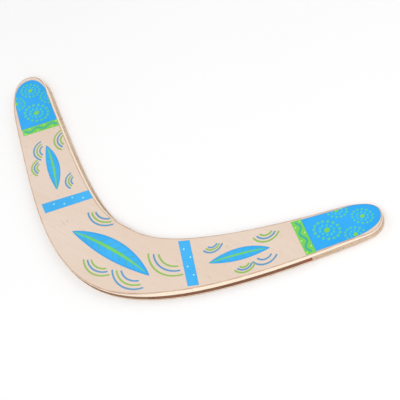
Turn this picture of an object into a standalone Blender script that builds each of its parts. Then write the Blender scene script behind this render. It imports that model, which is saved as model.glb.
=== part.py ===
"""Two-winged boomerang cut from three-ply plywood, lying print side up on its flat bottom face.

The centreline bends round the elbow and runs out along both wings. The outline is that centreline
with a width, rounded off at each tip. The trailing edges are sanded to a slope. The plies, the two
glue films between them and the three strips that make up the core are separate solids.
Metres, +Z up, +X towards the right tip, +Y towards the open side of the bend.
"""

import math

import bmesh
import bpy
from mathutils import Vector

MM = 0.001

# Centreline and width: total bend of the elbow, and what the two wings share. The width runs evenly from
# the root to the tip width, which it reaches WIDTH_HOLD before the end.
TURN = math.radians(85.5)
ROOT_WIDTH = 41.8 * MM
WIDTH_SOFTENING = 11.5 * MM
WIDTH_HOLD = 10.0 * MM
TIP_POWER = 2.2

# Each wing: reach along the centreline, how gently the elbow starts, bow of the wing in radians per
# metre, width just before the tip, and the length over which each side of the tip is rounded.
WINGS = {
    "left": {
        "way": -1, "length": 170.5 * MM, "elbow": 52.4 * MM, "bow": -0.6, "tip_width": 26.5 * MM,
        "round": {"outer": 32.5 * MM, "inner": 21.0 * MM},
    },
    "right": {
        "way": 1, "length": 167.2 * MM, "elbow": 48.0 * MM, "bow": 0.8, "tip_width": 23.4 * MM,
        "round": {"outer": 12.5 * MM, "inner": 22.5 * MM},
    },
}

# Board, from the bottom up.
BOARD = 5.0 * MM
FACE_PLY = 1.15 * MM
GLUE = 0.10 * MM
JOINT_GAP = 0.05 * MM

# Edges: the sanded arris all round, and the slopes on the two trailing edges.
TOP_ARRIS = 0.25 * MM
BOTTOM_ARRIS = 0.15 * MM
LEFT_SLOPE_TOP = 2.45 * MM
LEFT_SLOPE_CORE = 1.25 * MM
RIGHT_SLOPE_TOP = 2.60 * MM
RIGHT_SLOPE_TIP = 1.20 * MM
RIGHT_SLOPE_CORE = 0.25 * MM
SLOPE_RUN_OUT = 42.0 * MM
TIP_FADE = 24.0 * MM

# Core strips: where the core veneer is butted, and the hairline left there.
CORE_SEAMS = (44.0 * MM, 118.0 * MM)
SEAM_GAP = 0.15 * MM

STATION_STEP = 5.0 * MM
TIP_STEPS = 12
SHOULDER_SHARE = 0.8
INTEGRATION_STEPS = 120

VENEER = (0.80, 0.66, 0.53)
CORE_DARK = (0.21, 0.09, 0.05)
CORE_PALE = (0.53, 0.35, 0.23)
GLUE_BROWN = (0.25, 0.13, 0.07)


def smooth_step(value):
    value = min(max(value, 0.0), 1.0)
    return value * value * (3.0 - 2.0 * value)


def heading(wing, reach):
    """Angle of the centreline from the X axis, at a distance along it from the elbow."""
    bend = reach / math.sqrt(reach * reach + wing["elbow"] ** 2)
    return 0.5 * TURN * bend + wing["bow"] * reach


def centreline(wing, reach):
    """Point on the centreline, by adding up short straight steps."""
    step = reach / INTEGRATION_STEPS
    x = 0.0
    y = 0.0
    for index in range(INTEGRATION_STEPS):
        angle = heading(wing, (index + 0.5) * step)
        x += math.cos(angle) * step
        y += math.sin(angle) * step
    return Vector((wing["way"] * x, y))


def spread(distance):
    """Distance from the elbow as the width feels it, with no crease at the elbow itself."""
    return math.hypot(distance, WIDTH_SOFTENING) - WIDTH_SOFTENING


def half_width(wing, side, reach):
    share = min(spread(reach) / spread(wing["length"] - WIDTH_HOLD), 1.0)
    width = ROOT_WIDTH + (wing["tip_width"] - ROOT_WIDTH) * share
    rounding = wing["round"][side]
    past = max(0.0, reach - (wing["length"] - rounding)) / rounding
    return 0.5 * width * max(0.0, 1.0 - past ** TIP_POWER) ** (1.0 / TIP_POWER)


def stations(wing, side):
    """Distances along the centreline: even steps, then closing up round the tip."""
    rounding = wing["round"][side]
    straight = wing["length"] - rounding
    count = round(straight / STATION_STEP)
    even = [straight * index / count for index in range(count)]
    quarter = 0.5 * math.pi
    turned = [straight + rounding * math.sin(quarter * index / TIP_STEPS) for index in range(TIP_STEPS)]
    return even + turned


def side_points(name, side):
    """Outline points of one side of one wing, from the elbow to just short of the tip."""
    wing = WINGS[name]
    points = []
    for reach in stations(wing, side):
        angle = heading(wing, reach)
        across = Vector((-wing["way"] * math.sin(angle), math.cos(angle)))
        if side == "outer":
            across.negate()
        place = centreline(wing, reach) + across * half_width(wing, side, reach)
        points.append((place, name, side, reach))
    return points


def tip_point(name):
    wing = WINGS[name]
    return centreline(wing, wing["length"]), name, "tip", wing["length"]


def outline():
    """Closed outline, anticlockwise seen from above, each point with the edge that it lies on."""
    left_outer = side_points("left", "outer")
    right_outer = side_points("right", "outer")
    right_inner = side_points("right", "inner")
    left_inner = side_points("left", "inner")
    points = left_outer[:0:-1] + right_outer + [tip_point("right")]
    points += right_inner[:0:-1] + left_inner + [tip_point("left")]
    xs = [point[0].x for point in points]
    ys = [point[0].y for point in points]
    centre = Vector((0.5 * (min(xs) + max(xs)), 0.5 * (min(ys) + max(ys))))
    return [(place - centre, name, side, reach) for place, name, side, reach in points]


def inward_normals(points):
    normals = []
    for index in range(len(points)):
        along = points[(index + 1) % len(points)][0] - points[index - 1][0]
        normals.append(Vector((-along.y, along.x)).normalized())
    return normals


def plain_edge(name, side, reach):
    return 0.0


def bottom_edge(name, side, reach):
    return BOTTOM_ARRIS


def slope(name, side, reach):
    """Share of the full slope at a point: 1 along a trailing edge, 0 on a leading edge and at a tip."""
    if (name, side) not in (("left", "inner"), ("right", "outer")):
        return 0.0
    from_tip = WINGS[name]["length"] - reach
    return smooth_step(reach / SLOPE_RUN_OUT) * smooth_step(from_tip / TIP_FADE)


def core_edge(name, side, reach):
    depth = LEFT_SLOPE_CORE if name == "left" else RIGHT_SLOPE_CORE
    return depth * slope(name, side, reach)


def slope_top(name, reach):
    if name == "left":
        return LEFT_SLOPE_TOP
    return RIGHT_SLOPE_TOP + (RIGHT_SLOPE_TIP - RIGHT_SLOPE_TOP) * reach / WINGS[name]["length"]


def top_edge(name, side, reach):
    """Inset of the printed face: the slope where there is one, and never less than the arris."""
    return TOP_ARRIS + (slope_top(name, reach) - TOP_ARRIS) * slope(name, side, reach)


def top_shoulder(name, side, reach):
    """Foot of the top arris: on a trailing edge it lies most of the way up the slope."""
    core = core_edge(name, side, reach)
    return core + SHOULDER_SHARE * slope(name, side, reach) * (top_edge(name, side, reach) - core)


def material(name, colour, roughness):
    finish = bpy.data.materials.new(name)
    finish.use_nodes = True
    shader = finish.node_tree.nodes["Principled BSDF"]
    shader.inputs["Base Color"].default_value = (*colour, 1.0)
    shader.inputs["Roughness"].default_value = roughness
    shader.inputs["Metallic"].default_value = 0.0
    return finish


def layer_mesh(levels):
    """Solid layer with the board's outline; levels are (height, inset function) from the bottom up."""
    points = outline()
    normals = inward_normals(points)
    shape = bmesh.new()
    rings = []
    for height, inset in levels:
        ring = []
        for (place, name, side, reach), normal in zip(points, normals):
            moved = place + normal * inset(name, side, reach)
            ring.append(shape.verts.new((moved.x, moved.y, height)))
        rings.append(ring)
    for lower, upper in zip(rings, rings[1:]):
        for index in range(len(lower)):
            after = (index + 1) % len(lower)
            shape.faces.new((lower[index], lower[after], upper[after], upper[index]))
    shape.faces.new(list(reversed(rings[0])))
    shape.faces.new(rings[-1])
    return shape


def keep_between(shape, low, high):
    """Cut a layer across at X = low and X = high, and close the cut faces."""
    for position, way in ((low, -1.0), (high, 1.0)):
        if position is None:
            continue
        geometry = list(shape.verts) + list(shape.edges) + list(shape.faces)
        cut = bmesh.ops.bisect_plane(
            shape, geom=geometry, plane_co=(position, 0.0, 0.0), plane_no=(way, 0.0, 0.0), clear_outer=True)
        rim = [item for item in cut["geom_cut"] if isinstance(item, bmesh.types.BMEdge)]
        bmesh.ops.contextual_create(shape, geom=rim)


def add_node(name, shape, finish):
    mesh = bpy.data.meshes.new(name)
    bmesh.ops.recalc_face_normals(shape, faces=shape.faces)
    shape.to_mesh(mesh)
    shape.free()
    mesh.materials.append(finish)
    node = bpy.data.objects.new(name, mesh)
    bpy.context.collection.objects.link(node)
    return node


def build_faces():
    """The two face veneers, with the arris and the slope cut in the upper one."""
    bottom = [(0.0, bottom_edge), (BOTTOM_ARRIS, plain_edge), (FACE_PLY, plain_edge)]
    add_node("bottom_veneer", layer_mesh(bottom), material("bottom_veneer", VENEER, 0.60))
    top = [(BOARD - FACE_PLY, core_edge), (BOARD - TOP_ARRIS, top_shoulder), (BOARD, top_edge)]
    add_node("top_veneer", layer_mesh(top), material("top_veneer", VENEER, 0.45))


def build_glue():
    lower = FACE_PLY + JOINT_GAP
    add_node("lower_glue_film", layer_mesh([(lower, plain_edge), (lower + GLUE, plain_edge)]),
             material("lower_glue_film", GLUE_BROWN, 0.40))
    upper = BOARD - FACE_PLY - JOINT_GAP
    add_node("upper_glue_film", layer_mesh([(upper - GLUE, core_edge), (upper, core_edge)]),
             material("upper_glue_film", GLUE_BROWN, 0.40))


def build_core():
    """Cross-grained core, in three strips butted side by side."""
    low = FACE_PLY + GLUE + 2.0 * JOINT_GAP
    high = BOARD - low
    left_seam, right_seam = CORE_SEAMS
    half_gap = 0.5 * SEAM_GAP
    strips = (
        ("core_strip_left", None, left_seam - half_gap, CORE_PALE),
        ("core_strip_middle", left_seam + half_gap, right_seam - half_gap, CORE_DARK),
        ("core_strip_right", right_seam + half_gap, None, CORE_PALE),
    )
    for name, start, end, colour in strips:
        shape = layer_mesh([(low, plain_edge), (high, core_edge)])
        keep_between(shape, start, end)
        add_node(name, shape, material(name, colour, 0.75))


def main():
    for item in list(bpy.data.objects):
        bpy.data.objects.remove(item, do_unlink=True)
    build_faces()
    build_glue()
    build_core()


main()
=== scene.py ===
"""Looks of a printed two-winged plywood boomerang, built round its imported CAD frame.

The plies, the core strips and the glue films are refined copies of the CAD solids. The print on the
upper face is made of thin films of ink: a blue field with dotted rosettes and a green band on each tip,
a blue band on each wing, a leaf on each wing and on the elbow, and groups of curved lines.
Metres, +Z up, +X towards the right tip, +Y towards the open side of the bend.
"""

import math

import bpy
from mathutils import Matrix, Vector


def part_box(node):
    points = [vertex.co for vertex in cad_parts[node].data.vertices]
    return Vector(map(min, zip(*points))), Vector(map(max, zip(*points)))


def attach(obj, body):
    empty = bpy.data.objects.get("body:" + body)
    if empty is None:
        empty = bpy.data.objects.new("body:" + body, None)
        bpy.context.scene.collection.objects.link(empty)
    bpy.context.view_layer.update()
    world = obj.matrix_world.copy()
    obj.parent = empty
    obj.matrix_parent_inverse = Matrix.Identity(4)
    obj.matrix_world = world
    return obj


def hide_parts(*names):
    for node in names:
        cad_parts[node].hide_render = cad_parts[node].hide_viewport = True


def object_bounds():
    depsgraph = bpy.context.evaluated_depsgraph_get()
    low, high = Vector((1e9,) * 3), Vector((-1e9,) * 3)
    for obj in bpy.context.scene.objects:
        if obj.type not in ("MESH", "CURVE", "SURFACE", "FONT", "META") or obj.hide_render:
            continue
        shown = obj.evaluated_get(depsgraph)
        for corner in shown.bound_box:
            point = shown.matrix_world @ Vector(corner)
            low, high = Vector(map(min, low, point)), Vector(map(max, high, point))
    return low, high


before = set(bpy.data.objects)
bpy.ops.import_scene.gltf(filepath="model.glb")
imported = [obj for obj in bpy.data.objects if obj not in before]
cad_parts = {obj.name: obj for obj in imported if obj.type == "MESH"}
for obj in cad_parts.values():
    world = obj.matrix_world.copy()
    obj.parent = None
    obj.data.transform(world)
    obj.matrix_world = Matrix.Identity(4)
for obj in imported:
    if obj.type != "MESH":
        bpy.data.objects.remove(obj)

CAD_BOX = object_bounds()

bl_info = {
    "name": "Printed Boomerang",
    "version": (1, 0, 0),
    "blender": (4, 5, 0),
    "location": "View3D > Sidebar > Boomerang",
    "description": "Plywood boomerang with an inked upper face",
    "category": "Object",
}

MM = 0.001
BODY = "root"

# Centreline of the board, as the CAD draws it: it bends round the elbow and runs out along both wings.
# The elbow lies beside the middle of the frame, because the left wing is the longer one.
TURN = math.radians(85.5)
ROOT_WIDTH = 41.8 * MM
ELBOW_X = 6.53 * MM
WINGS = {
    "left": {"way": -1, "length": 170.5 * MM, "elbow": 52.4 * MM, "bow": -0.6},
    "right": {"way": 1, "length": 167.2 * MM, "elbow": 48.0 * MM, "bow": 0.8},
}
RAIL_STEP = 0.5 * MM

# The print is laid out once, along the right wing, as (reach from the elbow, offset to the inner edge) in
# millimetres. The left wing takes the same layout a little further out. Its leaf and curved lines are
# spread a little, and they lean and turn a little about their middle.
LEFT_START = 6.6
LEFT_STRETCH = 0.967
LEFT_MOTIF_START = 2.0
LEFT_MOTIF_LEAN = -0.2
LEFT_MOTIF_GROWTH = 0.06
LEFT_MOTIF_TURN = 0.05
MOTIF_MIDDLE = 85.0

# Blue field on each tip: where it ends, half width at the band and at the start of the rounding, and the
# length over which that side is rounded. Reach along its own wing, millimetres.
FIELDS = {
    "left": {"end": 167.5, "outer": (12.1, 11.6, 22.0), "inner": (13.4, 12.5, 27.5)},
    "right": {"end": 166.6, "outer": (11.3, 10.5, 22.5), "inner": (12.5, 11.3, 21.0)},
}
FIELD_POWER = 2.3
FIELD_STEPS = 14

# Bands across the wings: (reach at the outer end, reach at the inner end), and the offsets of those ends.
GREEN_BAND = {"elbow_side": (120.5, 115.4), "tip_side": (126.3, 121.7), "ends": (-11.8, 12.9)}
BLUE_BANDS = {
    "left": {"elbow_side": (52.3, 43.2), "tip_side": (60.2, 51.4), "ends": (-14.4, 16.8)},
    "right": {"elbow_side": (52.3, 43.2), "tip_side": (58.7, 51.2), "ends": (-14.4, 16.8)},
}
BLUE_BAND_DOTS = ((55.4, -7.2), (51.4, -1.1), (52.7, 5.0), (47.9, 11.0))

# Wavy line on a green band: its swings and how far each goes, its points, and what it leaves free at each
# end as a share of the band. The dots lie beside it, at shares of the band from the outer to the inner end.
WAVE_TURNS = 2.5
WAVE_SWING = 1.2
WAVE_STEPS = 48
WAVE_MARGIN = 0.07
GREEN_BAND_DOTS = (0.06, 0.21, 0.41, 0.61, 0.81, 0.95)
DOT_SHIFT = 1.9

# Rosettes: centre, share of the full ring size, dots in the outer and the inner ring. The two axes of the
# full outer ring are in the part's own X and Y, millimetres.
ROSETTES = {
    "left": (
        ((135.0, 0.8), 1.03, 15, 10),
        ((156.6, 1.1), 0.82, 14, 9),
        ((150.6, -10.6), 0.77, 14, 9),
        ((143.8, 12.0), 0.77, 14, 9),
    ),
    "right": (
        ((135.0, 0.2), 0.93, 15, 10),
        ((156.3, 1.6), 0.73, 14, 9),
        ((149.8, -8.6), 0.73, 14, 9),
        ((143.0, 11.2), 0.74, 14, 9),
    ),
}
ROSETTE_AXES = (Vector((7.6, 3.4, 0.0)), Vector((-3.85, 5.0, 0.0)))
INNER_RING_SHARE = 0.55

# Curved lines in groups: centre, radii from the outside in, first and last angle in degrees, colours.
# A wing's groups are in the print's layout, and the elbow's in the part's own X and Y, all in millimetres.
WING_ARCS = {
    "left": (
        ((100.9, 14.4), (8.9, 6.7, 4.6), (-22, -141), ("green", "blue", "green")),
        ((97.4, -1.0), (8.1, 6.1, 4.1), (-17, -143), ("blue", "green", "blue")),
        ((84.8, -6.2), (6.8, 5.0, 3.3), (-18, -140), ("green", "blue", "green")),
        ((66.2, 12.8), (7.2, 5.3, 3.6), (-20, -130), ("blue", "green", "blue")),
    ),
    "right": (
        ((99.8, 13.6), (8.9, 6.7, 4.6), (-30, -148), ("green", "blue", "green")),
        ((96.9, -1.7), (8.3, 5.1), (-30, -143), ("blue", "blue")),
        ((84.8, -5.2), (6.8, 5.0, 3.3), (-20, -140), ("green", "blue", "green")),
        ((66.0, 12.9), (7.0, 5.2, 3.6), (-20, -134), ("blue", "green", "blue")),
    ),
}
ELBOW_ARCS = (
    ((-17.9, -9.9), (14.9, 12.6, 10.2), (-131, -45), ("blue", "green", "blue")),
    ((2.7, -38.1), (15.2, 12.7, 10.4), (-137, -46), ("green", "blue", "green")),
    ((26.0, -34.6), (17.0, 14.3, 11.5), (-139, -44), ("blue", "green", "blue")),
    ((41.8, -14.3), (19.3, 16.1, 13.0), (-140, -46), ("green", "blue", "green")),
)
# Each line inward stops this many degrees short of the one outside it, at both ends.
ARC_TRIM = 5.0

# Leaves: start, bend and end of the spine, half width of the blade and pairs of veins, then widths of the
# midrib and of a vein at its foot, and how far the darker edge reaches in. The wing's leaf is in the
# print's layout and the elbow's in the part's own X and Y, millimetres.
WING_LEAF = {
    "spine": ((64.0, -1.0), (83.0, 2.4), (101.0, 0.0)), "half_width": 4.2, "veins": 6,
    "midrib": 1.5, "vein": 1.2, "rim": 0.8,
}
ELBOW_LEAF = {
    "spine": ((-29.0, -36.0), (4.0, -32.0), (37.0, -38.0)), "half_width": 6.4, "veins": 8,
    "midrib": 2.2, "vein": 1.7, "rim": 1.2,
}
BLADE_STEPS = 28
BLADE_POWER = 0.8

# Veins and midrib, as shares of the spine: where the midrib starts and ends, where the veins' feet lie, how
# far forward a vein leans, and how near the edge it ends as a share of the half width.
MIDRIB = (0.03, 0.93)
VEIN_FEET = (0.14, 0.76)
VEIN_LEAN = 0.07
VEIN_REACH = 0.72

# Levels of the ink over the upper face, millimetres: the first colour and the two printed over it.
FIRST_LEVEL = (-0.015, 0.030)
SECOND_LEVEL = (0.020, 0.048)
THIRD_LEVEL = (0.036, 0.064)

# How finely curved shapes are divided. What is left of a cut dot is dropped at SLIVER_POINTS or fewer.
DOT_SIDES = 16
SLIVER_POINTS = 6
CAP_STEPS = 5
GRID = 1.2 * MM
ARC_STEP = 7.0
FEWEST_ARC_STEPS = 8

# Strokes: what a vein loses of its width by its end, and a midrib's width at its ends and how full it is.
VEIN_TAPER = 0.6
MIDRIB_END = 0.30
MIDRIB_FULLNESS = 0.8

# Mesh work: a place is known by its coordinates to PLACE_DIGITS decimals of a metre, and a face counts as
# flat or as outer by its normal. Ink keeps FACE_MARGIN in from the edge of the upper face.
MERGE_DISTANCE = 1e-6
PLACE_DIGITS = 7
FLAT_NORMAL = 0.999
OUTER_NORMAL = 0.9
QUAD_FACE_ANGLE = math.radians(30)
QUAD_SHAPE_ANGLE = math.radians(80)
SMOOTH_ANGLE = math.radians(50)
ARRIS_HEIGHT = 0.2 * MM
FACE_MARGIN = 0.12 * MM
FILM_RIM = 0.25 * MM
FIELD_RIM = 0.6 * MM
RING_RIM = 0.2 * MM

# Patterns of the finishes, in cells per metre along X, Y and Z. A low number draws the pattern out.
CLOUD_GRAIN = (9.0, 30.0, 30.0)
BAND_GRAIN = (14.0, 330.0, 330.0)
FIBRE_GRAIN = (95.0, 2300.0, 2300.0)
FACE_PORES = (260.0, 3600.0, 3600.0)
FLECKS = (170.0, 700.0, 700.0)
# Noise that breaks up the darker line along the arris.
ARRIS_LINE_BREAKUP = (160.0, 160.0, 160.0)
CORE_CLOUD = (34.0, 34.0, 34.0)
CORE_FIBRES = (900.0, 900.0, 2600.0)
CORE_PORES = (520.0, 520.0, 830.0)
GLUE_BEADS = (700.0, 700.0, 700.0)
INK_CLOUD = (55.0, 55.0, 55.0)
INK_GRAIN = (110.0, 2100.0, 2100.0)
FLOOR_MOTTLE = (3.0, 3.0, 3.0)

# Depth of the relief of each finish.
FACE_RELIEF = 0.012 * MM
CORE_RELIEF = 0.05 * MM
GLUE_RELIEF = 0.02 * MM
INK_RELIEF = 0.006 * MM

# Stage, in metres: each light's place from the point that the camera looks at, and its width, then the
# floor and how far it lies under the board. The sensor is in millimetres, as the lens is.
KEY_PLACE = Vector((0.40, -0.40, 0.85))
FILL_PLACE = Vector((-0.75, -0.25, 0.70))
BACK_PLACE = Vector((0.45, 0.70, 0.60))
KEY_WIDTH = 0.9
SIDE_WIDTH = 0.8
FLOOR_SIZE = 6.0
FLOOR_CUTS = 7
FLOOR_GAP = 0.02 * MM
SENSOR_WIDTH = 36.0


def tint(red, green, blue):
    """Linear colour from display values of 0 to 255."""
    return tuple((value / 255.0) ** 2.2 for value in (red, green, blue))


# ---------------------------------------------------------------------------------------------------------
# Sizes and colours that a user may change


class BoardLooks(bpy.types.PropertyGroup):
    arris: bpy.props.FloatProperty(
        name="Arris", description="Rounding of the sanded arrises", default=0.08 * MM, min=0.0,
        precision=5, unit="LENGTH")
    rim: bpy.props.FloatProperty(
        name="Rim", description="Width of the darker line along the upper arris", default=0.55 * MM,
        min=0.0, precision=5, unit="LENGTH")
    face: bpy.props.FloatVectorProperty(
        name="Face", description="Lacquered face veneer", default=tint(234, 214, 198), size=3,
        subtype="COLOR")
    face_dark: bpy.props.FloatVectorProperty(
        name="Face grain", description="Darker grain of the face veneer", default=tint(218, 188, 163),
        size=3, subtype="COLOR")
    # The sanded edge colours are partly the paler bare wood and partly a painted highlight, lighter as if the
    # rounded edge catches the light.
    sanded: bpy.props.FloatVectorProperty(
        name="Sanded and lit edge", description="Bare sanded edge of the face plies", default=tint(255, 240, 220),
        size=3, subtype="COLOR")
    sanded_and_lit_grain: bpy.props.FloatVectorProperty(
        name="Sanded and lit grain", description="Grain of the sanded edge", default=tint(236, 208, 176),
        size=3, subtype="COLOR")
    # A darker line along the arrises of the face plies, laid on as plain colour.
    arris_line: bpy.props.FloatVectorProperty(
        name="Arris line", description="Darker tone along the upper arris",
        default=tint(188, 144, 112), size=3, subtype="COLOR")
    core_dark: bpy.props.FloatVectorProperty(
        name="Dark core", description="Cut end grain of the dark core strip", default=tint(154, 108, 84),
        size=3, subtype="COLOR")
    core_deep: bpy.props.FloatVectorProperty(
        name="Dark core pores", description="Pores of the dark core strip", default=tint(108, 66, 48),
        size=3, subtype="COLOR")
    core_pale: bpy.props.FloatVectorProperty(
        name="Pale core", description="Cut grain of the pale core strips", default=tint(228, 202, 176),
        size=3, subtype="COLOR")
    core_speck: bpy.props.FloatVectorProperty(
        name="Pale core pores", description="Specks of the pale core strips", default=tint(176, 138, 108),
        size=3, subtype="COLOR")
    # Colour that the left core strip darkens to towards the elbow.
    left_core_elbow_tone: bpy.props.FloatVectorProperty(
        name="Left core elbow tone", description="Browner part of the left core strip, towards the elbow",
        default=tint(132, 94, 70), size=3, subtype="COLOR")
    knot: bpy.props.FloatVectorProperty(
        name="Knot", description="Reddish end of the dark core strip", default=tint(168, 84, 72),
        size=3, subtype="COLOR")
    glue: bpy.props.FloatVectorProperty(
        name="Glue", description="Hardened glue line", default=tint(160, 122, 94), size=3, subtype="COLOR")


class PrintLooks(bpy.types.PropertyGroup):
    crown: bpy.props.FloatProperty(
        name="Crown", description="Rise of an ink film from its edge to its middle", default=0.010 * MM,
        min=0.0, precision=6, unit="LENGTH")
    line: bpy.props.FloatProperty(
        name="Line", description="Width of the curved lines", default=1.15 * MM, min=0.0, precision=5,
        unit="LENGTH")
    wave: bpy.props.FloatProperty(
        name="Wave", description="Width of the wavy line on the green bands", default=1.65 * MM, min=0.0,
        precision=5, unit="LENGTH")
    centre_dot: bpy.props.FloatProperty(
        name="Centre dot", description="Radius of the dot in the middle of a full rosette",
        default=1.9 * MM, min=0.0, precision=5, unit="LENGTH")
    ring_dot: bpy.props.FloatProperty(
        name="Ring dot", description="Radius of the dots in a rosette's outer ring", default=1.04 * MM,
        min=0.0, precision=5, unit="LENGTH")
    inner_dot: bpy.props.FloatProperty(
        name="Inner dot", description="Radius of the dots in a rosette's inner ring", default=0.84 * MM,
        min=0.0, precision=5, unit="LENGTH")
    band_dot: bpy.props.FloatProperty(
        name="Band dot", description="Radius of the dots on the bands", default=0.6 * MM, min=0.0,
        precision=5, unit="LENGTH")
    blue: bpy.props.FloatVectorProperty(
        name="Blue", description="Blue ink", default=tint(48, 176, 252), size=3, subtype="COLOR")
    field_blue: bpy.props.FloatVectorProperty(
        name="Field blue", description="Blue ink of the fields on the tips", default=tint(34, 168, 246),
        size=3, subtype="COLOR")
    band_blue: bpy.props.FloatVectorProperty(
        name="Band blue", description="Blue ink of the bands across the wings", default=tint(58, 176, 242),
        size=3, subtype="COLOR")
    blue_edge: bpy.props.FloatVectorProperty(
        name="Blue edge", description="Where the blue ink runs out", default=tint(46, 138, 190), size=3,
        subtype="COLOR")
    green: bpy.props.FloatVectorProperty(
        name="Green", description="Green ink", default=tint(118, 208, 78), size=3, subtype="COLOR")
    green_edge: bpy.props.FloatVectorProperty(
        name="Green edge", description="Where the green ink runs out", default=tint(96, 190, 110), size=3,
        subtype="COLOR")
    teal: bpy.props.FloatVectorProperty(
        name="Teal", description="Green printed over blue", default=tint(70, 192, 180), size=3,
        subtype="COLOR")
    wave_colour: bpy.props.FloatVectorProperty(
        name="Wave colour", description="Blue printed over green", default=tint(66, 180, 152), size=3,
        subtype="COLOR")
    mint: bpy.props.FloatVectorProperty(
        name="Mint", description="Light dots on the blue field", default=tint(84, 202, 154), size=3,
        subtype="COLOR")
    cyan: bpy.props.FloatVectorProperty(
        name="Cyan", description="Small dots on the blue field", default=tint(66, 206, 194), size=3,
        subtype="COLOR")
    pale: bpy.props.FloatVectorProperty(
        name="Pale", description="Pale dots on the bands", default=tint(196, 240, 150), size=3,
        subtype="COLOR")
    white: bpy.props.FloatVectorProperty(
        name="White", description="White dots on the blue bands", default=tint(176, 246, 255), size=3,
        subtype="COLOR")
    line_green: bpy.props.FloatVectorProperty(
        name="Green line", description="Green curved lines", default=tint(146, 186, 92), size=3,
        subtype="COLOR")
    line_blue: bpy.props.FloatVectorProperty(
        name="Blue line", description="Blue curved lines", default=tint(92, 152, 196), size=3,
        subtype="COLOR")


class StageLooks(bpy.types.PropertyGroup):
    floor: bpy.props.FloatVectorProperty(
        name="Floor", description="Pale floor", default=tint(255, 255, 255), size=3, subtype="COLOR")
    azimuth: bpy.props.FloatProperty(
        name="Azimuth", description="Side the camera looks from; 0 looks along +Y",
        default=math.radians(63.07), subtype="ANGLE")
    elevation: bpy.props.FloatProperty(
        name="Elevation", description="Height of the camera over the horizon", default=math.radians(51.30),
        subtype="ANGLE")
    roll: bpy.props.FloatProperty(
        name="Roll", description="Turn of the camera about its own axis", default=math.radians(-31.57),
        subtype="ANGLE")
    distance: bpy.props.FloatProperty(
        name="Distance", description="Camera to the point that it looks at", default=0.8369, min=0.1,
        unit="LENGTH")
    aim: bpy.props.FloatVectorProperty(
        name="Aim", description="Point on the floor that the camera looks at",
        default=(0.0300, 0.0194, 0.0), size=3, subtype="TRANSLATION", unit="LENGTH")
    lens: bpy.props.FloatProperty(
        name="Lens", description="Focal length in millimetres", default=126.0, min=1.0)
    key: bpy.props.FloatProperty(
        name="Key light", description="Power of the main soft light", default=3.6, min=0.0, subtype="POWER")
    fill: bpy.props.FloatProperty(
        name="Fill light", description="Power of the soft light from the left", default=1.4, min=0.0,
        subtype="POWER")
    back: bpy.props.FloatProperty(
        name="Back light", description="Power of the soft light from behind", default=1.5, min=0.0,
        subtype="POWER")
    sky: bpy.props.FloatProperty(
        name="Sky", description="Strength of the even white surround", default=0.62, min=0.0)


# ---------------------------------------------------------------------------------------------------------
# Selection and modelling helpers


def deselect_all():
    if bpy.context.mode != "OBJECT":
        bpy.ops.object.mode_set(mode="OBJECT")
    bpy.ops.object.select_all(action="DESELECT")


def select_only(piece):
    deselect_all()
    piece.select_set(True)
    bpy.context.view_layer.objects.active = piece


def edit(piece):
    """Edit mode on one piece, face selection, with nothing selected."""
    select_only(piece)
    bpy.ops.object.mode_set(mode="EDIT")
    bpy.ops.mesh.select_mode(type="FACE")
    bpy.ops.mesh.select_all(action="DESELECT")


def leave_edit():
    bpy.ops.object.mode_set(mode="OBJECT")


def select_faces(piece, wanted):
    """Selects a piece's faces for which wanted(face) holds, and goes into edit mode on them."""
    edit(piece)
    leave_edit()
    for face in piece.data.polygons:
        face.select = wanted(face)
    bpy.ops.object.mode_set(mode="EDIT")


def copy_node(node, name):
    """New piece from a CAD node's mesh, merged, with each flat side as one face."""
    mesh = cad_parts[node].data.copy()
    mesh.name = name
    mesh.materials.clear()
    piece = bpy.data.objects.new(name, mesh)
    bpy.context.collection.objects.link(piece)
    select_only(piece)
    bpy.ops.mesh.customdata_custom_splitnormals_clear()
    edit(piece)
    bpy.ops.mesh.select_all(action="SELECT")
    bpy.ops.mesh.remove_doubles(threshold=MERGE_DISTANCE)
    select_faces(piece, lambda face: abs(face.normal.z) > FLAT_NORMAL)
    bpy.ops.mesh.dissolve_faces()
    bpy.ops.mesh.select_all(action="SELECT")
    bpy.ops.mesh.tris_convert_to_quads(face_threshold=QUAD_FACE_ANGLE, shape_threshold=QUAD_SHAPE_ANGLE)
    leave_edit()
    return piece


def round_arrises(piece, width):
    """Small bevel round the rims of a ply's flat sides."""
    select_faces(piece, lambda face: abs(face.normal.z) > FLAT_NORMAL)
    bpy.ops.mesh.region_to_loop()
    bpy.ops.mesh.bevel(offset=width, segments=2, affect="EDGES", clamp_overlap=True)
    leave_edit()


def shade(piece):
    select_only(piece)
    bpy.ops.object.shade_smooth_by_angle(angle=SMOOTH_ANGLE)


def write_attribute(piece, name, value_of):
    """Float attribute on a piece's points, from a function of the point's place."""
    values = piece.data.attributes.new(name, "FLOAT", "POINT")
    for point, value in zip(piece.data.vertices, values.data):
        value.value = value_of(point.co)


def give(piece, slot, *finishes):
    """Materials and body of a finished piece. The slot is not used."""
    for finish in finishes:
        piece.data.materials.append(finish)
    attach(piece, BODY)


# ---------------------------------------------------------------------------------------------------------
# Layout along the wings


def heading(name, reach):
    wing = WINGS[name]
    bend = reach / math.sqrt(reach * reach + wing["elbow"] ** 2)
    return 0.5 * TURN * bend + wing["bow"] * reach


def rail(name):
    """Centreline of a wing: a place and a heading at every RAIL_STEP from the elbow."""
    way = WINGS[name]["way"]
    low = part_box("bottom_veneer")[0]
    place = Vector((ELBOW_X, low.y + 0.5 * ROOT_WIDTH, 0.0))
    stops = []
    for index in range(round(WINGS[name]["length"] / RAIL_STEP) + 1):
        angle = heading(name, index * RAIL_STEP)
        stops.append((place.copy(), angle))
        middle = heading(name, (index + 0.5) * RAIL_STEP)
        place += RAIL_STEP * Vector((way * math.cos(middle), math.sin(middle), 0.0))
    return stops


RAILS = {name: rail(name) for name in WINGS}


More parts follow.
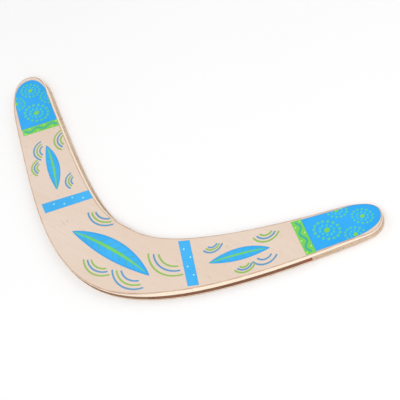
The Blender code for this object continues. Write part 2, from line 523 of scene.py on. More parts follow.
def on_wing(name, reach, offset):
    """Place of a point given in millimetres along a wing and towards its inner edge."""
    stops = RAILS[name]
    way = WINGS[name]["way"]
    index = min(max(round(reach * MM / RAIL_STEP), 0), len(stops) - 1)
    place, angle = stops[index]
    along = Vector((way * math.cos(angle), math.sin(angle), 0.0))
    inward = Vector((-way * math.sin(angle), math.cos(angle), 0.0))
    return place + along * (reach * MM - index * RAIL_STEP) + inward * offset * MM


def print_place(name, reach, offset):
    """Place on the named wing of a point of the shared print layout."""
    if name == "left":
        reach = LEFT_START + LEFT_STRETCH * reach
    return on_wing(name, reach, offset)


def motif_place(name, reach, offset):
    """Like print_place, but for the leaf and the curved lines round it."""
    if name == "left":
        from_middle = reach - MOTIF_MIDDLE
        shift = LEFT_MOTIF_START + LEFT_MOTIF_LEAN * offset + LEFT_MOTIF_GROWTH * from_middle
        reach += shift / LEFT_STRETCH
        offset += LEFT_MOTIF_TURN * from_middle
    return print_place(name, reach, offset)


def motif_layout(name):
    """Function that places a point of the leaf and its curved lines on the named wing."""
    return lambda reach, offset: motif_place(name, reach, offset)


def part_place(x, y):
    return Vector((x, y, 0.0)) * MM


def face_border():
    """Border of the CAD's flat upper face, anticlockwise: the edges that only one of its triangles has."""
    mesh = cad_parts["top_veneer"].data
    edges = set()
    for face in mesh.polygons:
        if face.normal.z > FLAT_NORMAL:
            corners = [mesh.vertices[index].co for index in face.vertices]
            places = [(round(corner.x, PLACE_DIGITS), round(corner.y, PLACE_DIGITS)) for corner in corners]
            edges.update(zip(places, places[1:] + places[:1]))
    follows = {start: end for start, end in edges if (end, start) not in edges}
    first = min(follows)
    border = [first]
    while follows[border[-1]] != first:
        border.append(follows[border[-1]])
    return [Vector((x, y, 0.0)) for x, y in border]


FACE_BORDER = face_border()


def on_face(place, room=0.0):
    """The place itself, or if it's too near the edge of the upper face, the nearest one that has the room."""
    nearest = math.inf
    for start, end in zip(FACE_BORDER, FACE_BORDER[1:] + FACE_BORDER[:1]):
        edge = end - start
        share = min(max((place - start).dot(edge) / edge.length_squared, 0.0), 1.0)
        foot = start + edge * share
        if (place - foot).length < nearest:
            nearest = (place - foot).length
            inward = Vector((-edge.y, edge.x, 0.0)).normalized()
            depth = (place - foot).dot(inward)
            moved = foot + inward * (FACE_MARGIN + room)
    return moved if depth < FACE_MARGIN + room else place


# ---------------------------------------------------------------------------------------------------------
# Outlines


def even_width(size):
    return lambda share: size


def vein_width(size):
    """Stroke that narrows from its start to its end."""
    return lambda share: size * (1.0 - VEIN_TAPER * share)


def midrib_width(size):
    """Stroke that swells to its middle and narrows to both ends."""
    swell = 1.0 - MIDRIB_END
    return lambda share: size * (MIDRIB_END + swell * math.sin(math.pi * share) ** MIDRIB_FULLNESS)


def leaf_point(leaf, share, side):
    """Point of a leaf at a share of its spine, and across it by a signed share of its half width."""
    back = 1.0 - share
    place = []
    along = []
    for start, bend, end in zip(*leaf["spine"]):
        place.append(start * back * back + 2.0 * bend * share * back + end * share * share)
        along.append((bend - start) * back + (end - bend) * share)
    out = side * leaf["half_width"] * math.sin(math.pi * share) ** BLADE_POWER / math.hypot(*along)
    return place[0] - along[1] * out, place[1] + along[0] * out


def blade_outline(leaf):
    """Outline of a leaf's blade, along one side to the tip and back along the other."""
    shares = [index / BLADE_STEPS for index in range(BLADE_STEPS + 1)]
    near = [leaf_point(leaf, share, -1.0) for share in shares]
    far = [leaf_point(leaf, share, 1.0) for share in shares[-2:0:-1]]
    return near + far


def stroke_stops(path, width):
    """Places and radii along a stroke, with both ends rounded off past the path's own ends."""
    last = len(path) - 1
    stops = [(place, 0.5 * width(index / last)) for index, place in enumerate(path)]
    for end, inner in ((0, 1), (last, last - 1)):
        outward = (path[end] - path[inner]).normalized()
        radius = 0.5 * width(end / last)
        cap = []
        for step in range(1, CAP_STEPS):
            turn = 0.5 * math.pi * step / CAP_STEPS
            cap.append((path[end] + outward * radius * math.sin(turn), radius * math.cos(turn)))
        stops = cap[::-1] + stops if end == 0 else stops + cap
    return stops


def dot_outline(place, radius):
    turns = [2.0 * math.pi * index / DOT_SIDES for index in range(DOT_SIDES)]
    return [place + radius * Vector((math.cos(turn), math.sin(turn), 0.0)) for turn in turns]


def cut_to(outline, border):
    """Part of an outline that lies within a convex border that runs anticlockwise."""
    for start, end in zip(border, border[1:] + border[:1]):
        edge = end - start
        normal = Vector((-edge.y, edge.x, 0.0)).normalized()
        kept = []
        for point, after in zip(outline, outline[1:] + outline[:1]):
            depth = (point - start).dot(normal)
            next_depth = (after - start).dot(normal)
            if depth >= 0.0:
                kept.append(point)
            if depth * next_depth < 0.0:
                kept.append(point + (after - point) * depth / (depth - next_depth))
        outline = kept
    return outline


def depth_inside(place, outline):
    """Distance from a place to the nearest edge of an outline."""
    nearest = math.inf
    for start, end in zip(outline, outline[1:] + outline[:1]):
        edge = end - start
        gap = place - start
        share = min(max(gap.dot(edge) / edge.length_squared, 0.0), 1.0)
        nearest = min(nearest, (gap - edge * share).length)
    return nearest


def arc_path(centre, radius, start, end, place):
    """Points along an arc of the layout, with angles in degrees, placed on the part."""
    count = max(FEWEST_ARC_STEPS, round(abs(end - start) / ARC_STEP))
    path = []
    for index in range(count + 1):
        angle = math.radians(start + (end - start) * index / count)
        path.append(place(centre[0] + radius * math.cos(angle), centre[1] + radius * math.sin(angle)))
    return path


# ---------------------------------------------------------------------------------------------------------
# Films of ink


def add_outline(outline, low):
    """Flat face with the given outline, from a filled circle with as many points."""
    bpy.ops.mesh.primitive_circle_add(vertices=len(outline), radius=MM, fill_type="NGON")
    face = bpy.context.object
    for vertex, point in zip(face.data.vertices, outline):
        vertex.co = (point.x, point.y, low)
    return face


def levels(level):
    """Heights of the underside and the top of a film."""
    surface = CAD_BOX[1].z
    return surface + level[0] * MM, surface + level[1] * MM


def ink_film(name, context, level, outlines, rim=FILM_RIM):
    """Closed films of ink of the given outlines, each with a slight crown inside its rim."""
    low, high = levels(level)
    crown = context.scene.print_looks.crown
    if not outlines:
        raise RuntimeError(f"{name} has no outline")
    deselect_all()
    faces = [add_outline(outline, low) for outline in outlines]
    deselect_all()
    for face in faces:
        face.select_set(True)
    film = faces[0]
    bpy.context.view_layer.objects.active = film
    if len(faces) > 1:
        bpy.ops.object.join()
    film.name = name
    film.data.name = name
    edit(film)
    bpy.ops.mesh.select_all(action="SELECT")
    lift = high - low - crown
    bpy.ops.mesh.extrude_region_move(TRANSFORM_OT_translate={"value": (0.0, 0.0, lift)})
    bpy.ops.mesh.inset(thickness=rim, depth=0.0, use_individual=True, use_even_offset=True)
    bpy.ops.transform.translate(value=(0.0, 0.0, crown))
    bpy.ops.mesh.select_all(action="SELECT")
    bpy.ops.mesh.normals_make_consistent(inside=False)
    leave_edit()
    shoulder = high - 0.5 * crown
    write_attribute(film, "film_edge", lambda place: 0.0 if place.z > shoulder else 1.0)
    return film


def ink_blade(name, context, level, outline, rim):
    """Closed film with a free outline, gridded so that its crown and its edge tone follow the outline."""
    low, high = levels(level)
    crown = context.scene.print_looks.crown
    deselect_all()
    film = add_outline(outline, low)
    film.name = name
    film.data.name = name
    edit(film)
    for axis in (Vector((1.0, 0.0, 0.0)), Vector((0.0, 1.0, 0.0))):
        spread = [point.dot(axis) for point in outline]
        place = min(spread) + GRID
        while place < max(spread):
            bpy.ops.mesh.select_all(action="SELECT")
            bpy.ops.mesh.bisect(plane_co=axis * place, plane_no=axis)
            place += GRID
    bpy.ops.mesh.select_all(action="SELECT")
    bpy.ops.mesh.extrude_region_move(TRANSFORM_OT_translate={"value": (0.0, 0.0, high - low - crown)})
    bpy.ops.mesh.select_all(action="SELECT")
    bpy.ops.mesh.normals_make_consistent(inside=False)
    leave_edit()
    edge = film.data.attributes.new("film_edge", "FLOAT", "POINT")
    middle = 0.5 * (low + high - crown)
    for vertex in film.data.vertices:
        depth = min(depth_inside(Vector((vertex.co.x, vertex.co.y, 0.0)), outline) / rim, 1.0)
        edge.data[vertex.index].value = 1.0 - depth
        if vertex.co.z > middle:
            vertex.co.z += crown * math.sqrt(depth)
    return film


def ink_strokes(name, level, strokes):
    """Flattened strokes with round ends; each is (path, width as a function of the share of its length)."""
    low, high = levels(level)
    surface = CAD_BOX[1].z
    deselect_all()
    bpy.ops.curve.primitive_bezier_curve_add()
    drawn = bpy.context.object
    drawn.name = name
    drawn.data.name = name
    drawn.data.dimensions = "3D"
    drawn.data.splines.clear()
    drawn.data.bevel_depth = MM
    drawn.data.bevel_resolution = 2
    drawn.data.use_fill_caps = True
    widest = 0.0
    for path, width in strokes:
        stops = [(on_face(place, radius), radius) for place, radius in stroke_stops(path, width)]
        spline = drawn.data.splines.new("POLY")
        spline.points.add(len(stops) - 1)
        for point, (place, radius) in zip(spline.points, stops):
            point.co = (place.x, place.y, 0.0, 1.0)
            point.radius = radius / MM
            widest = max(widest, radius)
    bpy.ops.object.convert(target="MESH")
    piece = bpy.context.object
    base = max(low, surface)
    edit(piece)
    bpy.ops.mesh.select_all(action="SELECT")
    bpy.ops.mesh.remove_doubles(threshold=MERGE_DISTANCE)
    bpy.ops.mesh.normals_make_consistent(inside=False)
    bpy.ops.transform.resize(value=(1.0, 1.0, (high - base) / widest), center_override=(0.0, 0.0, 0.0))
    bpy.ops.transform.translate(value=(0.0, 0.0, base))
    leave_edit()
    write_attribute(piece, "film_edge", lambda place: 1.0 - max(place.z - base, 0.0) / (high - base))
    shade(piece)
    return piece


# ---------------------------------------------------------------------------------------------------------
# Materials


def new_finish(name):
    finish = bpy.data.materials.new(name)
    finish.use_nodes = True
    return finish, finish.node_tree, finish.node_tree.nodes["Principled BSDF"]


def add_node(tree, kind, links=(), values=(), **settings):
    """Node with its settings, its fixed inputs and its links."""
    node = tree.nodes.new(kind)
    for key, value in settings.items():
        setattr(node, key, value)
    for socket, value in values:
        node.inputs[socket].default_value = value
    for socket, source in links:
        tree.links.new(source, node.inputs[socket])
    return node


def place_scaled(tree, scale):
    """Object coordinates, stretched by a scale per axis."""
    coordinates = add_node(tree, "ShaderNodeTexCoord")
    mapping = add_node(
        tree, "ShaderNodeMapping", [("Vector", coordinates.outputs["Object"])], [("Scale", scale)])
    return mapping.outputs["Vector"]


def noise(tree, scale, detail, roughness=0.55, distortion=0.0):
    """Share of 0 to 1 that varies over the piece, in cells of the given scale."""
    node = add_node(
        tree, "ShaderNodeTexNoise", [("Vector", place_scaled(tree, scale))],
        [("Scale", 1.0), ("Detail", detail), ("Roughness", roughness), ("Distortion", distortion)])
    return node.outputs["Fac"]


def remap(tree, value, low, high, start=0.0, end=1.0):
    """Smooth step of a value, from start at low to end at high."""
    node = add_node(
        tree, "ShaderNodeMapRange", [("Value", value)],
        [("From Min", low), ("From Max", high), ("To Min", start), ("To Max", end)],
        interpolation_type="SMOOTHSTEP")
    return node.outputs["Result"]


def arithmetic(tree, operation, first, second):
    links = []
    values = []
    for socket, item in ((0, first), (1, second)):
        (values if isinstance(item, (int, float)) else links).append((socket, item))
    node = add_node(tree, "ShaderNodeMath", links, values, operation=operation)
    return node.outputs["Value"]


def blend_colour(tree, share, first, second):
    """Mix of two colours, each a value or a socket."""
    sockets = {"Factor_Float": share, "A_Color": first, "B_Color": second}
    node = tree.nodes.new("ShaderNodeMix")
    node.data_type = "RGBA"
    for identifier, item in sockets.items():
        socket = next(entry for entry in node.inputs if entry.identifier == identifier)
        if isinstance(item, (int, float)):
            socket.default_value = item
        elif isinstance(item, bpy.types.NodeSocket):
            tree.links.new(item, socket)
        else:
            socket.default_value = (*item, 1.0)
    return next(entry for entry in node.outputs if entry.identifier == "Result_Color")


def add_bump(tree, shader, height, distance):
    bump = add_node(tree, "ShaderNodeBump", [("Height", height)], [("Distance", distance), ("Strength", 1.0)])
    tree.links.new(bump.outputs["Normal"], shader.inputs["Normal"])


def edge_share(tree, name):
    """Value of one of the pieces' own attributes."""
    return add_node(tree, "ShaderNodeAttribute", attribute_name=name).outputs["Fac"]


def face_wood(name, light, dark, line, rough):
    """Long-grained veneer with its grain along X, fine pores, and a darker line on the arris."""
    finish, tree, shader = new_finish(name)
    cloud = remap(tree, noise(tree, CLOUD_GRAIN, 2.0), 0.30, 0.72)
    bands = remap(tree, noise(tree, BAND_GRAIN, 3.0, 0.6, 0.25), 0.34, 0.70)
    fibres = remap(tree, noise(tree, FIBRE_GRAIN, 2.0, 0.6), 0.35, 0.75)
    pores = remap(tree, noise(tree, FACE_PORES, 1.0, 0.5), 0.66, 0.76)
    figure = arithmetic(tree, "ADD", arithmetic(tree, "MULTIPLY", cloud, 0.20),
                        arithmetic(tree, "MULTIPLY", bands, 0.12))
    figure = arithmetic(tree, "ADD", figure, arithmetic(tree, "MULTIPLY", fibres, 0.16))
    colour = blend_colour(tree, figure, light, dark)
    flecks = remap(tree, noise(tree, FLECKS, 0.0, 0.5), 0.76, 0.84)
    marks = arithmetic(tree, "MAXIMUM", arithmetic(tree, "MULTIPLY", pores, 0.40),
                       arithmetic(tree, "MULTIPLY", flecks, 0.22))
    colour = blend_colour(tree, marks, colour, line)
    # Darker line along the arris, broken up by noise.
    rim = arithmetic(tree, "MULTIPLY", edge_share(tree, "arris_line"),
                     remap(tree, noise(tree, ARRIS_LINE_BREAKUP, 2.0), 0.25, 0.75, 0.45, 1.0))
    colour = blend_colour(tree, rim, colour, line)
    tree.links.new(colour, shader.inputs["Base Color"])
    tree.links.new(remap(tree, fibres, 0.0, 1.0, rough, rough + 0.14), shader.inputs["Roughness"])
    relief = arithmetic(tree, "SUBTRACT", arithmetic(tree, "MULTIPLY", fibres, 0.5), pores)
    add_bump(tree, shader, relief, FACE_RELIEF)
    shader.inputs["Specular IOR Level"].default_value = 0.35
    return finish


def cut_wood(name, light, dark, tone_shift=None):
    """Sawn core: cut fibres and pores across the edge, with slow changes of colour along it.

    A tone shift is its colour, the axis that it grows along, and where it starts and is full.
    """
    finish, tree, shader = new_finish(name)
    slow = remap(tree, noise(tree, CORE_CLOUD, 2.0), 0.32, 0.68)
    fibres = remap(tree, noise(tree, CORE_FIBRES, 3.0, 0.65), 0.30, 0.72)
    pores = remap(tree, noise(tree, CORE_PORES, 2.0, 0.5), 0.56, 0.68)
    share = arithmetic(tree, "ADD", arithmetic(tree, "MULTIPLY", slow, 0.35),
                       arithmetic(tree, "MULTIPLY", fibres, 0.30))
    colour = blend_colour(tree, share, light, dark)
    colour = blend_colour(tree, arithmetic(tree, "MULTIPLY", pores, 0.75), colour, dark)
    if tone_shift is not None:
        shift_colour, axis, shift_start, shift_end = tone_shift
        place = add_node(tree, "ShaderNodeSeparateXYZ", [("Vector", place_scaled(tree, (1.0, 1.0, 1.0)))])
        shifted = remap(tree, place.outputs[axis], shift_start, shift_end, 0.0, 0.85)
        colour = blend_colour(tree, shifted, colour, shift_colour)
    tree.links.new(colour, shader.inputs["Base Color"])
    shader.inputs["Roughness"].default_value = 0.82
    shader.inputs["Specular IOR Level"].default_value = 0.2
    relief = arithmetic(tree, "SUBTRACT", fibres, arithmetic(tree, "MULTIPLY", pores, 1.5))
    add_bump(tree, shader, relief, CORE_RELIEF)
    return finish


def glue_finish(name, colour):
    finish, tree, shader = new_finish(name)
    beads = remap(tree, noise(tree, GLUE_BEADS, 2.0), 0.35, 0.7)
    dark = tuple(0.5 * value for value in colour)
    tree.links.new(blend_colour(tree, beads, colour, dark), shader.inputs["Base Color"])
    shader.inputs["Roughness"].default_value = 0.4
    add_bump(tree, shader, beads, GLUE_RELIEF)
    return finish


def ink(name, colour, edge, edge_amount=0.8):
    """Ink over veneer: the grain shows through a little, and the edge of the film is another tone."""
    finish, tree, shader = new_finish(name)
    cloud = remap(tree, noise(tree, INK_CLOUD, 2.0), 0.30, 0.72)
    grain = remap(tree, noise(tree, INK_GRAIN, 2.0, 0.6), 0.40, 0.80)
    lighter = tuple(min(1.0, value * 1.10 + 0.02) for value in colour)
    body = blend_colour(tree, arithmetic(tree, "MULTIPLY", cloud, 0.6), colour, lighter)
    body = blend_colour(tree, arithmetic(tree, "MULTIPLY", grain, 0.16), body, edge)
    rim = arithmetic(tree, "MULTIPLY", edge_share(tree, "film_edge"), edge_amount)
    tree.links.new(blend_colour(tree, rim, body, edge), shader.inputs["Base Color"])
    tree.links.new(remap(tree, grain, 0.0, 1.0, 0.38, 0.52), shader.inputs["Roughness"])
    add_bump(tree, shader, grain, INK_RELIEF)
    shader.inputs["Specular IOR Level"].default_value = 0.4
    return finish


# ---------------------------------------------------------------------------------------------------------
# Operators: the board


class BOOMERANG_OT_face_plies(bpy.types.Operator):
    """Add the printed top ply and the bottom ply"""

    bl_idname = "boomerang.face_plies"
    bl_label = "Face Plies"

    def execute(self, context):
        looks = context.scene.board_looks
        lacquered = face_wood("lacquered_veneer", looks.face, looks.face_dark, looks.arris_line, 0.36)
        # Finish of the sides and rounded edges: bare sanded wood with a painted highlight on top of its own
        # colour.
        sanded = face_wood("sanded_and_lit_veneer", looks.sanded, looks.sanded_and_lit_grain, looks.arris_line, 0.55)
        plies = (("top_veneer", "top_ply", 1.0), ("bottom_veneer", "bottom_ply", -1.0))
        for node, name, flat_side in plies:
            piece = copy_node(node, name)
            round_arrises(piece, looks.arris)
            self.mark_rim(piece, flat_side, looks.rim)
            shade(piece)
            give(piece, node, lacquered, sanded)
            # Faces other than the outer flat side take the sanded finish with its painted highlight.
            for face in piece.data.polygons:
                face.material_index = 0 if face.normal.z * flat_side > OUTER_NORMAL else 1
            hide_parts(node)
        return {"FINISHED"}

    def mark_rim(self, piece, flat_side, width):
        """Narrow ring inside the outer flat side, with the arris line fading out across it."""
        select_faces(piece, lambda face: face.normal.z * flat_side > FLAT_NORMAL)
        bpy.ops.mesh.inset(thickness=width, depth=0.0, use_even_offset=True)
        leave_edit()
        inside = set()
        for face in piece.data.polygons:
            if face.select:
                inside.update(face.vertices)
        line = piece.data.attributes.new("arris_line", "FLOAT", "POINT")
        level = CAD_BOX[1].z if flat_side > 0.0 else CAD_BOX[0].z
        for vertex in piece.data.vertices:
            on_arris = abs(vertex.co.z - level) < ARRIS_HEIGHT and vertex.index not in inside
            line.data[vertex.index].value = 1.0 if on_arris else 0.0


class BOOMERANG_OT_core_strips(bpy.types.Operator):
    """Add the three strips of the core"""

    bl_idname = "boomerang.core_strips"
    bl_label = "Core Strips"

    def execute(self, context):
        looks = context.scene.board_looks
        dark_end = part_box("core_strip_middle")[1].x
        knot = (looks.knot, "X", dark_end - 4.0 * MM, dark_end - 1.0 * MM)
        # The left core strip darkens from Y = 10 mm to Y = -36 mm, towards the elbow.
        left_core_elbow_tone = (looks.left_core_elbow_tone, "Y", 10.0 * MM, -36.0 * MM)
        strips = (
            ("core_strip_left", "core_left", "core_pale", looks.core_pale, looks.core_speck, left_core_elbow_tone),
            ("core_strip_middle", "core_middle", "core_dark", looks.core_dark, looks.core_deep, knot),
            ("core_strip_right", "core_right", "core_pale", looks.core_pale, looks.core_speck, None),
        )
        for node, name, slot, light, dark, tone_shift in strips:
            piece = copy_node(node, name)
            round_arrises(piece, 0.25 * looks.arris)
            shade(piece)
            give(piece, slot, cut_wood(f"{name}_wood", light, dark, tone_shift))
            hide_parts(node)
        return {"FINISHED"}


class BOOMERANG_OT_glue_lines(bpy.types.Operator):
    """Add the two films of hardened glue between the plies"""

    bl_idname = "boomerang.glue_lines"
    bl_label = "Glue Lines"

    def execute(self, context):
        finish = glue_finish("hardened_glue", context.scene.board_looks.glue)
        for node, name in (("lower_glue_film", "lower_glue"), ("upper_glue_film", "upper_glue")):
            piece = copy_node(node, name)
            shade(piece)
            give(piece, "glue_film", finish)
            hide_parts(node)
        return {"FINISHED"}


# ---------------------------------------------------------------------------------------------------------
# Operators: the print


def field_outline(name):
    """Outline of the blue field on one tip, from the band round the end and back."""
    field = FIELDS[name]
    start = {"outer": GREEN_BAND["tip_side"][0], "inner": GREEN_BAND["tip_side"][1]}
    if name == "left":
        start = {side: LEFT_START + LEFT_STRETCH * reach for side, reach in start.items()}
    sides = {}
    for side, sign in (("outer", -1.0), ("inner", 1.0)):
        at_band, at_turn, rounding = field[side]
        turn = field["end"] - rounding
        points = [on_wing(name, start[side], sign * at_band), on_wing(name, turn, sign * at_turn)]
        for index in range(1, FIELD_STEPS):
            share = math.sin(0.5 * math.pi * index / FIELD_STEPS)
            half = at_turn * (1.0 - share ** FIELD_POWER) ** (1.0 / FIELD_POWER)
            points.append(on_wing(name, turn + rounding * share, sign * half))
        sides[side] = points
    outline = sides["outer"] + [on_wing(name, field["end"], 0.0)] + sides["inner"][::-1]
    return [on_face(point) for point in outline]


def band_outline(name, band):
    corners = []
    for offset, (elbow_side, tip_side) in zip(band["ends"], zip(band["elbow_side"], band["tip_side"])):
        corners.append((print_place(name, elbow_side, offset), print_place(name, tip_side, offset)))
    (outer_elbow, outer_tip), (inner_elbow, inner_tip) = corners
    return [on_face(corner) for corner in (outer_elbow, outer_tip, inner_tip, inner_elbow)]


def band_middle(band, share):
    """Middle of a band at a share of its length from the outer to the inner end."""
    ends = band["ends"]
    reaches = [0.5 * (band["elbow_side"][end] + band["tip_side"][end]) for end in (0, 1)]
    return (reaches[0] + (reaches[1] - reaches[0]) * share, ends[0] + (ends[1] - ends[0]) * share)


def wave_swing(share):
    return WAVE_SWING * math.cos(2.0 * math.pi * WAVE_TURNS * share)


class BOOMERANG_OT_tip_fields(bpy.types.Operator):
    """Add the blue field and the green band with its wavy line and dots on each tip"""

    bl_idname = "boomerang.tip_fields"
    bl_label = "Tip Fields"

    def execute(self, context):
        looks = context.scene.print_looks
        blue = ink("field_blue_ink", looks.field_blue, looks.blue_edge, 0.7)
        green = ink("band_green_ink", looks.green, looks.green_edge, 0.6)
        teal = ink("wave_teal_ink", looks.wave_colour, looks.wave_colour)
        pale = ink("band_pale_ink", looks.pale, looks.green)
        for name in WINGS:
            field = ink_film(f"tip_field_{name}", context, FIRST_LEVEL, [field_outline(name)], FIELD_RIM)
            give(field, "print_blue", blue)
            band = ink_film(f"green_band_{name}", context, FIRST_LEVEL, [band_outline(name, GREEN_BAND)])
            give(band, "print_green", green)
            wave = ink_strokes(f"wave_line_{name}", SECOND_LEVEL, [self.wave(name, looks.wave)])
            give(wave, "print_green", teal)
            outlines = self.dots(name, looks.band_dot)
            dots = ink_film(f"green_band_dots_{name}", context, THIRD_LEVEL, outlines)
            give(dots, "print_green", pale)
        return {"FINISHED"}

    def wave(self, name, width):
        path = []
        length = 1.0 - 2.0 * WAVE_MARGIN
        for index in range(WAVE_STEPS + 1):
            share = WAVE_MARGIN + length * index / WAVE_STEPS
            reach, offset = band_middle(GREEN_BAND, share)
            path.append(print_place(name, reach + wave_swing(share), offset))
        return path, even_width(width)

    def dots(self, name, radius):
        """A dot in each hollow of the wavy line."""
        dots = []
        for index, share in enumerate(GREEN_BAND_DOTS):
            reach, offset = band_middle(GREEN_BAND, share)
            side = -1.0 if index % 2 == 0 else 1.0
            dots.append(dot_outline(print_place(name, reach + side * DOT_SHIFT, offset), radius))
        return dots


class BOOMERANG_OT_rosettes(bpy.types.Operator):
    """Add the dotted rosettes on the two blue fields"""

    bl_idname = "boomerang.rosettes"
    bl_label = "Rosettes"

    def execute(self, context):
        looks = context.scene.print_looks
        finishes = {
            "centre": ink("rosette_centre_ink", looks.green, looks.mint),
            "outer": ink("rosette_outer_ink", looks.mint, looks.teal),
            "inner": ink("rosette_inner_ink", looks.cyan, looks.teal),
        }
        for name in WINGS:
            for ring, dots in self.rings(name, looks).items():
                film = ink_film(f"rosette_{ring}_dots_{name}", context, SECOND_LEVEL, dots, RING_RIM)
                give(film, "print_green", finishes[ring])
        return {"FINISHED"}

    def rings(self, name, looks):
        """Dots of every rosette on a wing, by the ring that they are in, cut where the field ends."""
        border = field_outline(name)
        if name == "left":
            border.reverse()
        rings = {"centre": [], "outer": [], "inner": []}
        for (reach, offset), share, outer_count, inner_count in ROSETTES[name]:
            centre = print_place(name, reach, offset)
            rings["centre"].append(dot_outline(centre, looks.centre_dot * share))
            rings["outer"] += self.ring(centre, share, outer_count, looks.ring_dot * share)
            rings["inner"] += self.ring(centre, share * INNER_RING_SHARE, inner_count,
                                        looks.inner_dot * share)
        for ring, dots in rings.items():
            cut = [cut_to(dot, border) for dot in dots]
            rings[ring] = [dot for dot in cut if len(dot) > SLIVER_POINTS]
        return rings

    def ring(self, centre, share, count, radius):
        dots = []
        for index in range(count):
            angle = 2.0 * math.pi * (index + 0.5) / count
            step = ROSETTE_AXES[0] * math.cos(angle) + ROSETTE_AXES[1] * math.sin(angle)
            dots.append(dot_outline(centre + step * share * MM, radius))
        return dots


class BOOMERANG_OT_wing_bands(bpy.types.Operator):
    """Add the blue band and its white dots on each wing"""

    bl_idname = "boomerang.wing_bands"
    bl_label = "Wing Bands"

    def execute(self, context):
        looks = context.scene.print_looks
        blue = ink("band_blue_ink", looks.band_blue, looks.blue_edge, 0.7)
        white = ink("band_white_ink", looks.white, looks.cyan)
        for name in WINGS:
            outline = band_outline(name, BLUE_BANDS[name])
            band = ink_film(f"blue_band_{name}", context, FIRST_LEVEL, [outline])
            give(band, "print_blue", blue)
            dots = [dot_outline(print_place(name, *point), looks.band_dot) for point in BLUE_BAND_DOTS]
            dots = ink_film(f"blue_band_dots_{name}", context, SECOND_LEVEL, dots)
            give(dots, "print_blue", white)
        return {"FINISHED"}


class BOOMERANG_OT_leaves(bpy.types.Operator):
    """Add the leaf on each wing and the larger one on the elbow"""

    bl_idname = "boomerang.leaves"
    bl_label = "Leaves"

    def execute(self, context):
        looks = context.scene.print_looks
        blue = ink("leaf_blue_ink", looks.blue, looks.blue_edge, 0.6)
        green = ink("leaf_green_ink", looks.green, looks.teal)
        teal = ink("leaf_teal_ink", looks.teal, looks.blue_edge)
        for name in WINGS:
            self.leaf(context, name, motif_layout(name), WING_LEAF, (blue, green, teal))
        self.leaf(context, "elbow", part_place, ELBOW_LEAF, (blue, green, teal))
        return {"FINISHED"}

    def leaf(self, context, name, place, leaf, finishes):
        """One leaf: its blade, the green midrib, and the teal veins under the midrib."""
        blade = [on_face(place(*point)) for point in blade_outline(leaf)]
        film = ink_blade(f"leaf_blade_{name}", context, FIRST_LEVEL, blade, leaf["rim"] * MM)
        give(film, "print_blue", finishes[0])
        first, last = MIDRIB
        shares = [first + (last - first) * index / BLADE_STEPS for index in range(BLADE_STEPS + 1)]
        path = [place(*leaf_point(leaf, share, 0.0)) for share in shares]
        film = ink_strokes(f"leaf_midrib_{name}", THIRD_LEVEL, [(path, midrib_width(leaf["midrib"] * MM))])
        give(film, "print_green", finishes[1])
        film = ink_strokes(f"leaf_veins_{name}", SECOND_LEVEL, self.veins(leaf, place))
        give(film, "print_green", finishes[2])

    def veins(self, leaf, place):
        first, last = VEIN_FEET
        width = vein_width(leaf["vein"] * MM)
        veins = []
        for index in range(leaf["veins"]):
            foot = first + (last - first) * index / (leaf["veins"] - 1)
            for side in (-VEIN_REACH, VEIN_REACH):
                ends = (leaf_point(leaf, foot, 0.0), leaf_point(leaf, foot + VEIN_LEAN, side))
                veins.append(([place(*end) for end in ends], width))
        return veins


class BOOMERANG_OT_curved_lines(bpy.types.Operator):
    """Add the groups of curved lines round the leaves"""

    bl_idname = "boomerang.curved_lines"
    bl_label = "Curved Lines"

    def execute(self, context):
        looks = context.scene.print_looks
        finishes = {
            "green": ink("line_green_ink", looks.line_green, looks.line_green),
            "blue": ink("line_blue_ink", looks.line_blue, looks.line_blue),
        }
        for name in WINGS:
            self.lines(name, WING_ARCS[name], motif_layout(name), looks.line, finishes)
        self.lines("elbow", ELBOW_ARCS, part_place, looks.line, finishes)
        return {"FINISHED"}

    def lines(self, name, groups, place, width, finishes):
        """Films of the lines of one colour each, for all groups round one leaf."""
        strokes = {"green": [], "blue": []}
        for centre, radii, (start, end), colours in groups:
            way = 1.0 if end > start else -1.0
            for index, (radius, colour) in enumerate(zip(radii, colours)):
                trim = way * ARC_TRIM * index
                path = arc_path(centre, radius, start + trim, end - trim, place)
                strokes[colour].append((path, even_width(width)))
        for colour, found in strokes.items():
            film = ink_strokes(f"{colour}_lines_{name}", FIRST_LEVEL, found)
            give(film, f"print_{colour}", finishes[colour])


# ---------------------------------------------------------------------------------------------------------
# Operator: the stage


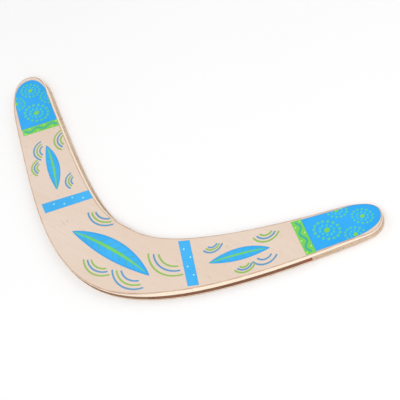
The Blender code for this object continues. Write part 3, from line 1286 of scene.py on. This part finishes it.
class BOOMERANG_OT_stage(bpy.types.Operator):
    """Add the floor, the lights and the camera"""

    bl_idname = "boomerang.stage"
    bl_label = "Stage"

    def execute(self, context):
        looks = context.scene.stage_looks
        context.scene.view_settings.view_transform = "Standard"
        self.floor(looks)
        self.surround(context, looks)
        aim = Vector(looks.aim)
        back = self.direction(looks.azimuth, looks.elevation)
        self.soft_light("key_light", aim + KEY_PLACE, aim, looks.key, KEY_WIDTH)
        self.soft_light("fill_light", aim + FILL_PLACE, aim, looks.fill, SIDE_WIDTH)
        self.soft_light("back_light", aim + BACK_PLACE, aim, looks.back, SIDE_WIDTH)
        self.camera(context, looks, aim, back)
        return {"FINISHED"}

    def direction(self, azimuth, elevation):
        """Unit vector from the part towards a place round it."""
        flat = math.cos(elevation)
        return Vector((math.sin(azimuth) * flat, -math.cos(azimuth) * flat, math.sin(elevation)))

    def floor(self, looks):
        deselect_all()
        bpy.ops.mesh.primitive_plane_add(size=FLOOR_SIZE, location=(0.0, 0.0, CAD_BOX[0].z - FLOOR_GAP))
        floor = bpy.context.object
        floor.name = "studio_floor"
        edit(floor)
        bpy.ops.mesh.select_all(action="SELECT")
        bpy.ops.mesh.subdivide(number_cuts=FLOOR_CUTS)
        leave_edit()
        finish, tree, shader = new_finish("floor_paper")
        mottle = remap(tree, noise(tree, FLOOR_MOTTLE, 2.0), 0.3, 0.7)
        paler = tuple(0.985 * value for value in looks.floor)
        tree.links.new(blend_colour(tree, mottle, looks.floor, paler), shader.inputs["Base Color"])
        shader.inputs["Roughness"].default_value = 0.9
        shader.inputs["Specular IOR Level"].default_value = 0.1
        floor.data.materials.append(finish)

    def surround(self, context, looks):
        world = bpy.data.worlds.new("white_surround")
        world.use_nodes = True
        light = world.node_tree.nodes["Background"]
        light.inputs["Color"].default_value = (1.0, 1.0, 1.0, 1.0)
        light.inputs["Strength"].default_value = looks.sky
        context.scene.world = world

    def soft_light(self, name, place, aim, power, size):
        deselect_all()
        bpy.ops.object.light_add(type="AREA", location=place)
        lamp = bpy.context.object
        lamp.name = name
        lamp.data.shape = "DISK"
        lamp.data.size = size
        lamp.data.energy = power
        lamp.rotation_euler = (place - aim).to_track_quat("Z", "Y").to_euler()

    def camera(self, context, looks, aim, back):
        deselect_all()
        bpy.ops.object.camera_add(location=aim + back * looks.distance)
        camera = bpy.context.object
        camera.name = "studio_camera"
        level = back.to_track_quat("Z", "Y")
        camera.rotation_mode = "QUATERNION"
        camera.rotation_quaternion = level @ Matrix.Rotation(looks.roll, 3, "Z").to_quaternion()
        camera.data.lens = looks.lens
        camera.data.sensor_width = SENSOR_WIDTH
        context.scene.camera = camera


class BOOMERANG_PT_sidebar(bpy.types.Panel):
    """Buttons and settings of the boomerang"""

    bl_idname = "BOOMERANG_PT_sidebar"
    bl_label = "Boomerang"
    bl_space_type = "VIEW_3D"
    bl_region_type = "UI"
    bl_category = "Boomerang"

    def draw(self, context):
        for operator in OPERATORS:
            self.layout.operator(operator.bl_idname)
        for group in (context.scene.board_looks, context.scene.print_looks, context.scene.stage_looks):
            box = self.layout.box()
            for key in group.bl_rna.properties.keys():
                if key not in {"rna_type", "name"}:
                    box.prop(group, key)


OPERATORS = (
    BOOMERANG_OT_face_plies,
    BOOMERANG_OT_core_strips,
    BOOMERANG_OT_glue_lines,
    BOOMERANG_OT_tip_fields,
    BOOMERANG_OT_rosettes,
    BOOMERANG_OT_wing_bands,
    BOOMERANG_OT_leaves,
    BOOMERANG_OT_curved_lines,
    BOOMERANG_OT_stage,
)
CLASSES = (BoardLooks, PrintLooks, StageLooks) + OPERATORS + (BOOMERANG_PT_sidebar,)


def register():
    for item in CLASSES:
        bpy.utils.register_class(item)
    bpy.types.Scene.board_looks = bpy.props.PointerProperty(type=BoardLooks)
    bpy.types.Scene.print_looks = bpy.props.PointerProperty(type=PrintLooks)
    bpy.types.Scene.stage_looks = bpy.props.PointerProperty(type=StageLooks)


def unregister():
    del bpy.types.Scene.stage_looks
    del bpy.types.Scene.print_looks
    del bpy.types.Scene.board_looks
    for item in reversed(CLASSES):
        bpy.utils.unregister_class(item)


def main():
    register()
    bpy.ops.boomerang.face_plies()
    bpy.ops.boomerang.core_strips()
    bpy.ops.boomerang.glue_lines()
    bpy.ops.boomerang.tip_fields()
    bpy.ops.boomerang.rosettes()
    bpy.ops.boomerang.wing_bands()
    bpy.ops.boomerang.leaves()
    bpy.ops.boomerang.curved_lines()
    bpy.ops.boomerang.stage()


if __name__ == "__main__":
    main()
